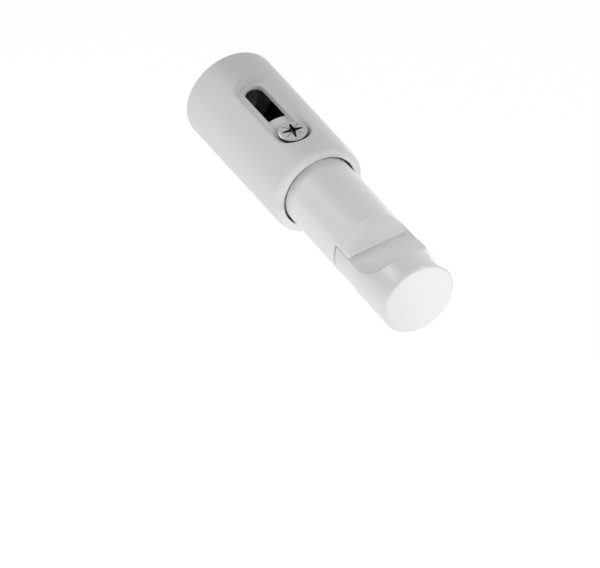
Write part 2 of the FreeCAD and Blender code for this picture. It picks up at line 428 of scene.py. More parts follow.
@dataclass
class SleeveForm:
    """The moulded sleeve: drafted outside, recessed slot with a soft lip, bore and ribbed base.

    All sizes are in millimetres. Rings of one set of columns run round the bracket's axis, and the
    slot sits in a patch of stadium-shaped loops that grow out to a rectangle between the rings.
    """

    near: float = SLOT_NEAR
    far: float = SLOT_FAR
    slot: float = 3.06
    slot_top: float = 3.4
    flange: float = 3.3
    flange_radius: float = 11.86
    taper_radius: float = 12.3
    recess: float = 4.9
    lip: float = 1.3
    floor: float = 13.1
    patch: float = 9.0
    draft: float = 0.3
    mouth_round: float = 2.2
    wall_round: float = 0.9
    bore: float = 12.4
    base: float = 5.5
    seat: float = 6.5
    seat_floor: float = 3.0
    hole: float = 3.1
    relief_in: float = 5.5
    relief_out: float = 12.9
    relief: float = 1.2
    rib: float = 1.6
    ribs: int = 6
    end_steps: int = 24
    side_steps: int = 12
    under_steps: int = 64
    length: float = field(init=False)
    wall_radius: float = field(init=False)
    rays: List[Spot] = field(init=False)
    cosines: List[float] = field(init=False)

    def build(self, finish: bpy.types.Material) -> bpy.types.Object:
        """Build the sleeve's closed mesh.

        Args:
            finish: the material of the whole sleeve.
        Returns:
            The new object, which rides on the sleeve and stands for its node.
        """
        low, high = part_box("wall_sleeve")
        self.length = -low[1] / MM
        self.wall_radius = high[0] / MM
        self.rays = self.stadium_rays()
        self.cosines = self.column_cosines()
        mesh = bmesh.new()
        outer = self.skin(mesh, self.radius, self.outer_rows(), self.patch, self.outer_loops())
        half = self.patch * self.bore / self.wall_radius
        inner = self.skin(mesh, lambda y: self.bore, self.bore_rows(), half, [(self.flange, 1.0)])
        self.slot_wall(mesh, outer["slot"], inner["slot"])
        self.mouth(mesh, outer["first"], inner["first"])
        face = self.inside_base(mesh, inner["last"])
        self.wall_face(mesh, outer["last"], face)
        seal(mesh)
        return piece_from(mesh, "sleeve_moulding", finish)

    def radius(self, y: float) -> float:
        """Outer radius at a place along Y, with the mould's draft."""
        return self.wall_radius + self.draft * y / self.length

    def stadium_rays(self) -> List[Spot]:
        """Rays out of the slot's centre line.

        Returns:
            For each ray its start along Y and its direction in X and Y, once round the slot.
        """
        rays = []
        for centre, first in ((self.far, 0.0), (self.near, 180.0)):
            for step in range(self.end_steps + 1):
                angle = math.radians(first + 180.0 * step / self.end_steps)
                rays.append((centre, math.cos(angle), math.sin(angle)))
            side = -1.0 if centre == self.far else 1.0
            for step in range(1, self.side_steps):
                run = (self.far - self.near) * step / self.side_steps
                rays.append((centre + side * run, side, 0.0))
        return rays

    def column_cosines(self) -> List[float]:
        """Columns over the slot, from +X to -X.

        Returns:
            The cosine of each column's angle from +X.
        """
        quarter = self.end_steps // 4
        share = self.patch / self.wall_radius
        angles = [180.0 * step / self.end_steps for step in range(quarter, 3 * quarter + 1)]
        return [share / math.tan(math.radians(a)) if a != 90 else 0.0 for a in angles]

    def column_angles(self) -> List[float]:
        """All columns once round the axis.

        Returns:
            Their angles in radians, from the patch's +X edge.
        """
        over = [math.acos(c) for c in self.cosines]
        first, last = over[-1], over[0] + 2 * math.pi
        under = [first + (last - first) * k / self.under_steps for k in range(1, self.under_steps)]
        return over + under

    def outer_rows(self) -> List[Point]:
        """Rows of the outside from the mouth to the wall.

        Returns:
            (shrink of the radius, y) pairs.
        """
        rows = []
        for step in range(9):
            angle = math.radians(90.0 * step / 8)
            rows.append((self.mouth_round * (1 - math.sin(angle)),
                         -self.length + self.mouth_round * (1 - math.cos(angle))))
        rows += [(0.0, y) for y in self.patch_rows(self.patch)]
        for step in range(5):
            angle = math.radians(90.0 * step / 4)
            rows.append((self.wall_round * (1 - math.cos(angle)), self.wall_round * (math.sin(angle) - 1)))
        return rows

    def bore_rows(self) -> List[Point]:
        """Rows of the bore from behind its wider mouth to the base."""
        half = self.patch * self.bore / self.wall_radius
        return [(0.0, 1.0 - self.length)] + [(0.0, y) for y in self.patch_rows(half)] + [(0.0, -self.base)]

    def patch_rows(self, half: float) -> List[float]:
        """Rows that meet the patch's side edges.

        Args:
            half: half width of the patch.
        Returns:
            The rows' places along Y.
        """
        quarter = self.end_steps // 4
        steps = [half * math.tan(math.radians(180.0 * k / self.end_steps)) for k in range(quarter + 1)]
        run = self.far - self.near
        straight = [self.near + run * k / self.side_steps for k in range(1, self.side_steps)]
        return [self.near - s for s in reversed(steps)] + straight + [self.far + s for s in steps]

    def outer_loops(self) -> List[Point]:
        """Loops from the slot's edge to the end of the lip.

        Returns:
            (distance from the centre line, height) pairs, where height is a share of the recess's
            own depth: 0 on its floor and 1 on the sleeve's outside.
        """
        top = self.recess + self.lip
        return [(self.slot_top, -0.05), (self.slot_top + 0.1, 0.0), (self.recess - 0.3, 0.0),
                (self.recess - 0.06, 0.02), (self.recess + 0.1, 0.09), (self.recess + 0.2, 0.17),
                (top - 0.34, 0.84), (top - 0.22, 0.92), (top - 0.06, 0.975), (top + 0.12, 0.995),
                (top + 0.3, 1.0)]

    def slot_wall(self, mesh: Mesh, above: Loop, below: Loop) -> None:
        """The slot's tapered wall and the thin flange that lines the liner's slot.

        Args:
            mesh: the mesh that grows.
            above: the slot's edge in the recess floor.
            below: the bore's edge round the flange.
        """
        chain = [above]
        for distance, radius in ((self.slot_top - 0.07, None), (self.slot + 0.05, self.taper_radius),
                                 (self.slot, self.flange_radius + 0.05),
                                 (self.slot + 0.05, self.flange_radius),
                                 (self.flange, self.flange_radius)):
            loop = []
            for start, dx, dy in self.rays:
                x = distance * dx
                level = self.floor - 0.2 if radius is None else math.sqrt(radius ** 2 - x * x)
                loop.append(mesh.verts.new((x, start + distance * dy, level)))
            chain.append(loop)
        chain.append(below)
        bridge(mesh, chain)

    def skin(self, mesh: Mesh, radius: Callable[[float], float], rows: List[Point], half: float,
             loops: List[Point]) -> Dict[str, Loop]:
        """One round skin with the slot's patch in it.

        Args:
            mesh: the mesh that grows.
            radius: gives the radius at a place along Y.
            rows: (shrink, y) of every ring.
            half: half width of the patch.
            loops: the patch's inner loops.
        Returns:
            The first and last ring and the slot's edge.
        """
        angles = self.column_angles()
        over = len(self.cosines)
        low, high = self.near - half, self.far + half
        grid = []
        for shrink, y in rows:
            inside = low + 1e-6 < y < high - 1e-6
            r = radius(y) - shrink
            ring = []
            for k, angle in enumerate(angles):
                hidden = inside and 0 < k < over - 1
                place = (r * math.cos(angle), y, r * math.sin(angle))
                ring.append(None if hidden else mesh.verts.new(place))
            grid.append(ring)
        for (_, y_a), a, (_, y_b), b in zip(rows, grid, rows[1:], grid[1:]):
            in_patch = low - 1e-6 < y_a and y_b < high + 1e-6
            for k in range(len(angles)):
                n = (k + 1) % len(angles)
                if in_patch and k < over - 1:
                    continue
                mesh.faces.new((a[k], a[n], b[n], b[k]))
        edge = [self.on_grid(grid, rows, ray, half, over) for ray in self.rays]
        made = []
        for distance, height in loops:
            made.append([self.loop_vertex(mesh, radius, ray, distance, height) for ray in self.rays])
        last = loops[-1][0]
        for share in (0.3, 0.65):
            ring = []
            for start, x, y in self.rays:
                reach = half / max(abs(x), abs(y))
                at = last + (reach - last) * share
                ring.append(self.loop_vertex(mesh, radius, (start, x, y), at, 1.0))
            made.append(ring)
        made.append(edge)
        bridge(mesh, made)
        return {"first": grid[0], "last": grid[-1], "slot": made[0]}

    def on_grid(self, grid: List[Loop], rows: List[Point], ray: Spot, half: float, over: int) -> Vertex:
        """The grid's vertex that a ray meets on the patch's edge.

        Args:
            grid: the rings of vertices.
            rows: (shrink, y) of every ring.
            ray: start along Y, and direction in X and Y.
            half: half width of the patch.
            over: how many columns run over the patch.
        Returns:
            The nearest vertex.
        """
        start, x, y = ray
        reach = half / max(abs(x), abs(y))
        target = start + reach * y
        row = min(range(len(rows)), key=lambda i: (rows[i][0] > 0, abs(rows[i][1] - target)))
        if abs(x) >= abs(y) - 1e-9:
            return grid[row][0 if x > 0 else over - 1]
        share = reach * x / half
        column = min(range(over), key=lambda k: abs(self.cosines[k] / self.cosines[0] - share))
        return grid[row][column]

    def loop_vertex(self, mesh: Mesh, radius: Callable[[float], float], ray: Spot, distance: float,
                    share: float) -> Vertex:
        """One vertex of a loop round the slot.

        Args:
            mesh: the mesh that grows.
            radius: gives the radius at a place along Y.
            ray: start along Y, and direction in X and Y.
            distance: how far along the ray.
            share: height as a share of the recess's depth.
        Returns:
            The new vertex.
        """
        start, dx, dy = ray
        x, y = distance * dx, start + distance * dy
        outside = math.sqrt(radius(y) ** 2 - x * x)
        level = outside if radius(y) < self.floor else self.floor + (outside - self.floor) * share
        return mesh.verts.new((x, y, level))

    def ring(self, mesh: Mesh, radius: float, y: float) -> Loop:
        """One ring of all columns."""
        return [mesh.verts.new((radius * math.cos(a), y, radius * math.sin(a))) for a in self.column_angles()]

    def mouth(self, mesh: Mesh, outer: Loop, inner: Loop) -> None:
        """The flat end and the bore's eased edge.

        Args:
            mesh: the mesh that grows.
            outer: the outside's first ring.
            inner: the bore's first ring.
        """
        end = -self.length
        chain = [outer]
        for radius, y in ((self.bore + 0.2, end), (self.bore + 0.06, end + 0.06), (self.bore, end + 0.2)):
            chain.append(self.ring(mesh, radius, y))
        chain.append(inner)
        bridge(mesh, chain)

    def inside_base(self, mesh: Mesh, inner: Loop) -> Loop:
        """The base's inner side, the screw's seat and its hole.

        Args:
            mesh: the mesh that grows.
            inner: the bore's last ring.
        Returns:
            The hole's edge in the wall face.
        """
        chain = [inner]
        for radius, y in ((self.seat, -self.base), (self.seat, -self.seat_floor),
                          (self.hole, -self.seat_floor), (self.hole, 0.0)):
            chain.append(self.ring(mesh, radius, y))
        bridge(mesh, chain)
        return chain[-1]

    def wall_face(self, mesh: Mesh, rim: Loop, hub: Loop) -> None:
        """The face on the wall: rim, hub and ribs in one plane, with pockets between them.

        Args:
            mesh: the mesh that grows.
            rim: the outside's last ring.
            hub: the hole's edge.
        """
        loops = [rim, hub]
        for index in range(self.ribs):
            top = self.pocket(mesh, index, 0.0)
            bottom = self.pocket(mesh, index, -self.relief)
            bridge(mesh, [top, bottom])
            mesh.faces.new(bottom)
            loops.append(top)
        edges = []
        for loop in loops:
            for k in range(len(loop)):
                pair = (loop[k], loop[(k + 1) % len(loop)])
                edges.append(mesh.edges.get(pair) or mesh.edges.new(pair))
        bmesh.ops.triangle_fill(mesh, use_beauty=True, edges=edges, normal=(0, 1, 0))

    def pocket(self, mesh: Mesh, index: int, y: float) -> Loop:
        """Outline of one pocket between two ribs.

        Args:
            mesh: the mesh that grows.
            index: which pocket.
            y: its depth.
        Returns:
            The outline's vertices.
        """
        first = 2 * math.pi * index / self.ribs
        last = first + 2 * math.pi / self.ribs
        outline = []
        for radius, steps, back in ((self.relief_in, 8, False), (self.relief_out, 14, True)):
            side = math.asin(self.rib / 2 / radius)
            span = [first + side + (last - first - 2 * side) * k / steps for k in range(steps + 1)]
            for angle in reversed(span) if back else span:
                outline.append(mesh.verts.new((radius * math.cos(angle), y, radius * math.sin(angle))))
        return outline


@dataclass
class LinerForm:
    """The guide liner, with its slot opened for the sleeve's flange."""

    opening: float = 3.32
    below: float = 9.0
    above: float = 14.0
    steps: int = 24

    def build(self, finish: bpy.types.Material) -> bpy.types.Object:
        """Build the liner from the construction's own tube.

        Args:
            finish: its material.
        Returns:
            The new object, which stands for the liner's node.
        """
        mesh = bmesh.new()
        mesh.from_mesh(bpy.data.objects["guide_liner"].data)
        bmesh.ops.scale(mesh, vec=(1 / MM,) * 3, verts=mesh.verts)
        bmesh.ops.remove_doubles(mesh, verts=mesh.verts, dist=WELD)
        outline = []
        for centre, first in ((SLOT_FAR, 0), (SLOT_NEAR, 180)):
            for step in range(self.steps + 1):
                angle = math.radians(first + 180 * step / self.steps)
                outline.append((self.opening * math.cos(angle), centre + self.opening * math.sin(angle)))
        mesh = carve(mesh, prism(outline, self.below, self.above), Joining.CUT)
        return piece_from(mesh, "liner_tube", finish)


@dataclass
class RailEnd:
    """End of a round rod that two rails are bedded in, with every edge softly rounded.

    A curve of (z, y) points runs from the bottom to the top and is swept across X. Towards the
    rod's outside the curve sinks into the material, which rounds the edge.
    """

    radius: float
    solid: int
    points: List[Bend]
    edge: float = BED_EDGE
    steps: int = 4

    def spot(self, index: int, step: int) -> Spot:
        """Place of one point of the curve at one step of the rounding.

        Args:
            index: which point of the curve.
            step: 0 on the curve itself, up to steps on the rod's outside.
        Returns:
            X, Y and Z on the +X side.
        """
        z, y, bedded = self.points[index]
        angle = math.radians(90.0 * step / self.steps)
        inner = self.radius - self.edge
        grow, sink = self.edge * math.sin(angle), self.edge * (1 - math.cos(angle))
        if bedded:
            lean = min(1.0, max(0.0, (abs(z) / inner - 0.6) / 0.3))
            z *= 1 + lean * grow / inner
            reach = RAIL_SEAT + sink
            y = RAIL_AXIS + self.solid * math.sqrt(reach ** 2 - (abs(z) - RAIL_OFFSET) ** 2)
        else:
            across, along = self.inward(index)
            z, y = z + sink * across, y + sink * along
        return math.sqrt(max(0.0, (inner + grow) ** 2 - z * z)), y, z

    def inward(self, index: int) -> Point:
        """Direction into the material at one point.

        Args:
            index: which point of the curve.
        Returns:
            Its Z and Y.
        """
        (z_a, y_a, _), (z_b, y_b, _) = self.points[index - 1], self.points[index + 1]
        run = Vector((z_b - z_a, y_b - y_a)).normalized()
        return -run.y * self.solid, run.x * self.solid

    def build(self, far: List[Point]) -> Mesh:
        """Build the whole rod.

        Args:
            far: (radius, y) rings from the rod's side to the flat at its other end.
        Returns:
            A closed mesh.
        """
        mesh = bmesh.new()
        count = len(self.points)
        sides = {}
        for side in (1, -1):
            sides[side] = [[self.vertex(mesh, side, *self.spot(i, j)) for i in range(count)]
                           for j in range(self.steps + 1)]
        right, left = sides[1][0], sides[-1][0]
        for i in range(count - 1):
            mesh.faces.new((right[i], right[i + 1], left[i + 1], left[i]))
        for rows in sides.values():
            for a, b in zip(rows, rows[1:]):
                for i in range(count - 1):
                    mesh.faces.new((a[i], a[i + 1], b[i + 1], b[i]))
        self.wall(mesh, sides, far)
        seal(mesh)
        return mesh

    def vertex(self, mesh: Mesh, side: int, x: float, y: float, z: float) -> Vertex:
        """One vertex on the +X or -X side."""
        return mesh.verts.new((side * x, y, z))

    def wall(self, mesh: Mesh, sides: Dict[int, List[Loop]], far: List[Point]) -> None:
        """The rod's outside, from the rounded edge to the rings and the flat at the other end.

        Args:
            mesh: the mesh that grows.
            sides: for +X and -X, the rows of the rounding.
            far: (radius, y) rings towards the other end.
        """
        caps = {}
        for side, rows in sides.items():
            outer = rows[-1]
            foot = far[0][1]
            columns = []
            for vertex in outer:
                x, _, z = vertex.co
                columns.append([mesh.verts.new((x * r / self.radius, y, z * r / self.radius))
                                for r, y in far])
            for i in range(len(outer) - 1):
                if abs(outer[i].co.z - outer[i + 1].co.z) < 1e-4:
                    columns[i + 1] = columns[i]
            for i in range(len(outer) - 1):
                if columns[i] is columns[i + 1]:
                    continue
                here, there = columns[i], columns[i + 1]
                loop = self.up_to(outer, i, foot) + self.up_to(outer, i + 1, foot)[::-1]
                mesh.faces.new([here[0]] + loop + [there[0]])
                for k in range(len(far) - 1):
                    mesh.faces.new((here[k], there[k], there[k + 1], here[k + 1]))
            ends = [column[-1] for column in columns]
            caps[side] = [v for k, v in enumerate(ends) if k == 0 or v is not ends[k - 1]]
        mesh.faces.new(caps[1] + caps[-1][-2:0:-1])

    def up_to(self, outer: Loop, index: int, foot: float) -> Loop:
        """The vertices of one column, from the far end up to one of them.

        Args:
            outer: the rounding's last row.
            index: the one of them that is last.
            foot: Y of the first ring at the far end.
        Returns:
            The column's vertices in order.
        """
        own = outer[index]
        same = [v for v in outer if abs(v.co.z - own.co.z) < 1e-4 and v is not own]
        between = [v for v in same if abs(v.co.y - foot) < abs(own.co.y - foot)]
        return sorted(between, key=lambda v: abs(v.co.y - foot)) + [own]


def corner_arc(before: Point, corner: Point, after: Point, radius: float, steps: int = 4) -> List[Point]:
    """Round one corner of a (z, y) curve.

    Args:
        before: a point on the line into the corner.
        corner: the sharp corner.
        after: a point on the line out of it.
        radius: the rounding's radius.
        steps: how many pieces the arc has.
    Returns:
        The arc's points in order.
    """
    here = Vector(corner)
    back, ahead = (Vector(before) - here).normalized(), (Vector(after) - here).normalized()
    half = back.angle(ahead) / 2
    start, end = here + back * radius / math.tan(half), here + ahead * radius / math.tan(half)
    centre = here + (back + ahead).normalized() * radius / math.sin(half)
    a, b = start - centre, end - centre
    swing = a.angle(b)
    points = []
    for step in range(steps + 1):
        share = step / steps
        spot = (a * math.sin((1 - share) * swing) + b * math.sin(share * swing)) / math.sin(swing)
        points.append(tuple(centre + spot))
    return points


def mirrored(upper: List[Bend]) -> List[Bend]:
    """A whole curve from its upper half, which starts above Z = 0."""
    return [(-z, y, bedded) for z, y, bedded in reversed(upper)] + upper


def seat_points(start: float, inner: float, solid: int, count: int = 26) -> List[Bend]:
    """Points of a rail's bed from one height up to the top of the rod.

    Args:
        start: the bed's lowest Z.
        inner: its highest Z.
        solid: 1 where the material lies towards +Y, otherwise -1.
        count: how many pieces the bed has.
    Returns:
        The bed's points in order.
    """
    low, high = math.asin(start / inner), math.pi / 2
    points = []
    for step in range(count + 1):
        z = inner * math.sin(low + (high - low) * step / count)
        points.append((z, RAIL_AXIS + solid * math.sqrt(RAIL_SEAT ** 2 - (z - RAIL_OFFSET) ** 2), True))
    return points


class Axis(Enum):
    """What a cylinder runs along."""

    DEPTH = "Y"
    UPRIGHT = "Z"


def cylinder(radius: float, centre: Vector, length: float, axis: Axis, segments: int = 96) -> Mesh:
    """A closed cylinder.

    Args:
        radius: its radius.
        centre: its middle.
        length: its length.
        axis: what it runs along.
        segments: how many sides.
    Returns:
        The new mesh.
    """
    mesh = bmesh.new()
    turn = Matrix.Rotation(math.radians(90), 4, "X") if axis is Axis.DEPTH else Matrix.Identity(4)
    bmesh.ops.create_cone(mesh, cap_ends=True, segments=segments, radius1=radius, radius2=radius,
                          depth=length, matrix=Matrix.Translation(centre) @ turn)
    return mesh


def prism(outline: List[Point], low: float, high: float, top: float = 1.0) -> Mesh:
    """A closed upright prism.

    Args:
        outline: its (x, y) points.
        low: Z of its floor.
        high: Z of its roof.
        top: how much wider the roof is than the floor.
    Returns:
        The new mesh.
    """
    mesh = bmesh.new()
    floor = [mesh.verts.new((x, y, low)) for x, y in outline]
    roof = [mesh.verts.new((x * top, y * top, high)) for x, y in outline]
    mesh.faces.new(floor[::-1])
    mesh.faces.new(roof)
    bridge(mesh, [floor, roof])
    bmesh.ops.recalc_face_normals(mesh, faces=mesh.faces)
    return mesh


class Joining(Enum):
    """How one solid changes another."""

    CUT = "DIFFERENCE"
    ADD = "UNION"


def carve(body: Mesh, tool: Mesh, joining: Joining) -> Mesh:
    """Cut one closed mesh from another, or add it.

    Args:
        body: the mesh that is kept, which is freed.
        tool: the mesh that cuts or is added, which is freed.
        joining: what happens.
    Returns:
        The new mesh.
    """
    pieces = []
    for name, mesh in (("body", body), ("tool", tool)):
        data = bpy.data.meshes.new(name)
        mesh.to_mesh(data)
        mesh.free()
        piece = bpy.data.objects.new(name, data)
        bpy.context.scene.collection.objects.link(piece)
        pieces.append(piece)
    modifier = pieces[0].modifiers.new("carve", "BOOLEAN")
    modifier.operation = joining.value
    modifier.solver = "EXACT"
    modifier.object = pieces[1]
    bpy.context.view_layer.update()
    result = bmesh.new()
    graph = bpy.context.evaluated_depsgraph_get()
    result.from_object(pieces[0], graph)
    for piece in pieces:
        bpy.data.objects.remove(piece)
    return result


@dataclass
class StemForm:
    """The sliding stem: hollow behind, a web for the clamp screw, and the fork in front."""

    fork: float = -90.2
    slot: float = 4.8
    web_front: float = -82.6
    web_rear: float = -72.0
    end: float = -30.0
    bore: float = 8.5
    chamfer: float = 0.7
    lug: Spot = (6.2, 5.7, -47.5)
    nut: Spot = (4.05, 7.45, 10.05)
    lock: float = SLOT_NEAR
    hole: float = 2.75
    corner: float = 0.3
    lug_steps: int = 12

    def build(self, finish: bpy.types.Material) -> bpy.types.Object:
        """Build the stem's closed mesh.

        Args:
            finish: the material.
        Returns:
            The new object, which stands for the stem's node.
        """
        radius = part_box("stem")[1][0] / MM
        end = RailEnd(radius, 1, self.curve(radius))
        rings = [(radius, self.end - self.chamfer),
                 (radius - self.chamfer * 0.35, self.end - self.chamfer * 0.3),
                 (radius - self.chamfer, self.end)]
        body = end.build(rings)
        bore = cylinder(self.bore, Vector((0, (self.web_rear + 1) / 2, 0)), 1 - self.web_rear, Axis.DEPTH)
        body = carve(body, bore, Joining.CUT)
        body = carve(body, self.lug_block(), Joining.ADD)
        reach, low, high = self.nut
        front = self.lock - reach
        pocket = prism([(-reach, front), (reach, front), (reach, 0), (-reach, 0)], low, high)
        body = carve(body, pocket, Joining.CUT)
        body = carve(body, cylinder(self.hole, Vector((0, self.lock, 8)), 14, Axis.UPRIGHT, 48), Joining.CUT)
        web = Vector((0, (self.web_rear + self.web_front) / 2, 0))
        through = cylinder(self.hole, web, 14, Axis.DEPTH, 48)
        body = carve(body, through, Joining.CUT)
        return piece_from(body, "stem_moulding", finish)

    def curve(self, radius: float) -> List[Bend]:
        """The fork's curve from the bottom to the top.

        Args:
            radius: the stem's radius.
        Returns:
            The curve's points.
        """
        inner = radius - BED_EDGE
        rise = self.fork - RAIL_AXIS
        tip = RAIL_OFFSET - math.sqrt(RAIL_SEAT ** 2 - rise ** 2)
        beyond = (tip + rise, self.fork + RAIL_OFFSET - tip)
        upper = [(inner * math.sin(math.radians(a)), self.web_front, False) for a in (3, 7, 11, 15, 19)]
        stops = [(0, self.web_front), (self.slot, self.web_front), (self.slot, self.fork), (tip, self.fork),
                 beyond]
        roundings = (BED_EDGE, self.corner, self.corner)
        for before, corner, after, rounding in zip(stops, stops[1:], stops[2:], roundings):
            upper += [(z, y, False) for z, y in corner_arc(before, corner, after, rounding)]
        upper += seat_points(upper[-1][0] + 0.12, inner, 1)
        return mirrored(upper)

    def lug_block(self) -> Mesh:
        """The thickening under the stem's top that carries the nut.

        Returns:
            A closed mesh.
        """
        half, low, front = self.lug
        reach = self.bore + 0.3
        span = math.asin(half / reach)
        angles = [span - 2 * span * k / self.lug_steps for k in range(self.lug_steps + 1)]
        arc = [(reach * math.sin(angle), reach * math.cos(angle)) for angle in angles]
        outline = [(-half, low), (half, low)] + arc
        mesh = bmesh.new()
        rear = [mesh.verts.new((x, self.end - 0.001, z)) for x, z in outline]
        fore = [mesh.verts.new((x, front, z)) for x, z in outline]
        mesh.faces.new(rear)
        mesh.faces.new(fore[::-1])
        for k in range(len(outline)):
            n = (k + 1) % len(outline)
            mesh.faces.new((rear[n], rear[k], fore[k], fore[n]))
        bmesh.ops.recalc_face_normals(mesh, faces=mesh.faces)
        return mesh


@dataclass
class HeadForm:
    """The clamp's separate front: a plain round face, two rail beds and the guide tongue."""

    face: float = -112.6
    rounding: float = 0.9
    tongue: float = 4.6
    tongue_root: float = -98.0
    tongue_end: float = -83.5
    easing: float = 0.8
    corner: float = 0.3
    hole: float = 2.75
    hole_front: float = -105.6
    insert: Spot = (3.5, -104.5, -94.5)

    def build(self, finish: bpy.types.Material) -> bpy.types.Object:
        """Build the head's closed mesh.

        Args:
            finish: the material.
        Returns:
            The new object, which stands for the head's node.
        """
        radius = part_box("clamp_head")[1][0] / MM
        rod = RailEnd(radius, -1, self.curve(radius))
        rings = []
        for step in range(9):
            angle = math.radians(90.0 * step / 8)
            rings.append((radius - self.rounding * (1 - math.cos(angle)),
                          self.face + self.rounding * (1 - math.sin(angle))))
        body = rod.build(rings)
        body = carve(body, self.tongue_block(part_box("stem")[1][0] / MM), Joining.ADD)
        length = self.tongue_end + 1 - self.hole_front
        hole = cylinder(self.hole, Vector((0, self.hole_front + length / 2, 0)), length, Axis.DEPTH, 48)
        body = carve(body, hole, Joining.CUT)
        reach, first, last = self.insert
        bed = cylinder(reach, Vector((0, (first + last) / 2, 0)), last - first, Axis.DEPTH, 64)
        body = carve(body, bed, Joining.CUT)
        return piece_from(body, "head_moulding", finish)

    def curve(self, radius: float) -> List[Bend]:
        """The curve of the rail beds and the flat between them.

        Args:
            radius: the head's radius.
        Returns:
            The curve's points.
        """
        edge = RAIL_OFFSET - RAIL_SEAT
        upper = [(z, RAIL_AXIS, False) for z in (1.5, 3.0, 4.2, edge - 0.12)]
        upper += seat_points(edge + 0.12, radius - BED_EDGE, -1)
        return mirrored(upper)

    def tongue_block(self, radius: float) -> Mesh:
        """The tongue: a slab as wide as the stem, rounded at its end and along its edges.

        Args:
            radius: the stem's radius.
        Returns:
            A closed mesh.
        """
        outline = self.slab(radius)
        normals = []
        for k, (x, z) in enumerate(outline):
            ahead, back = outline[(k + 1) % len(outline)], outline[k - 1]
            run = Vector((ahead[0] - back[0], ahead[1] - back[1])).normalized()
            normals.append((run.y, -run.x))
        loops = [(0.0, self.tongue_root), (0.0, self.tongue_end - self.easing)]
        for step in range(1, 6):
            angle = math.radians(90.0 * step / 5)
            loops.append((self.corner * (1 - math.cos(angle)),
                          self.tongue_end - self.easing * (1 - math.sin(angle))))
        mesh = bmesh.new()
        made = []
        for sink, y in loops:
            made.append([mesh.verts.new((x - across * sink, y, z - up * sink))
                         for (x, z), (across, up) in zip(outline, normals)])
        bridge(mesh, made)
        mesh.faces.new(made[0])
        mesh.faces.new(made[-1][::-1])
        bmesh.ops.recalc_face_normals(mesh, faces=mesh.faces)
        return mesh

    def slab(self, radius: float) -> List[Point]:
        """Outline of the tongue in X and Z, once round from the right.

        Args:
            radius: the stem's radius.
        Returns:
            The outline's points.
        """
        limit = math.asin((self.tongue - 0.35) / radius)
        angles = [limit * (k / 8 - 1) for k in range(17)]
        side = [(radius * math.cos(angle), radius * math.sin(angle)) for angle in angles]
        top_x = math.sqrt(radius ** 2 - self.tongue ** 2)
        corner = corner_arc(side[-1], (top_x, self.tongue), (0, self.tongue), self.corner)
        right = side + corner
        left = [(-x, z) for x, z in reversed(right)]
        lower = [(-x, -z) for x, z in corner]
        return right + left + lower + [(x, -z) for x, z in reversed(corner)]


def piece_from(mesh: Mesh, name: str, finish: bpy.types.Material, crease: float = 32.0) -> bpy.types.Object:
    """Turn a mesh in millimetres into a finished piece in metres.

    Args:
        mesh: the mesh, which is freed.
        name: the piece's name.
        finish: its material.
        crease: edges sharper than this many degrees stay crisp.
    Returns:
        The new object.
    """
    bmesh.ops.scale(mesh, vec=(MM, MM, MM), verts=mesh.verts)
    data = bpy.data.meshes.new(name)
    mesh.to_mesh(data)
    mesh.free()
    for polygon in data.polygons:
        polygon.use_smooth = True
    data.set_sharp_from_angle(angle=math.radians(crease))
    data.materials.append(finish)
    piece = bpy.data.objects.new(name, data)
    bpy.context.scene.collection.objects.link(piece)
    LOG.info("%s: %d faces", name, len(data.polygons))
    return piece


class Section(Enum):
    """The even section that a coil is swept with."""

    FLAT = "RECTANGLE"
    VEE = "KITE"


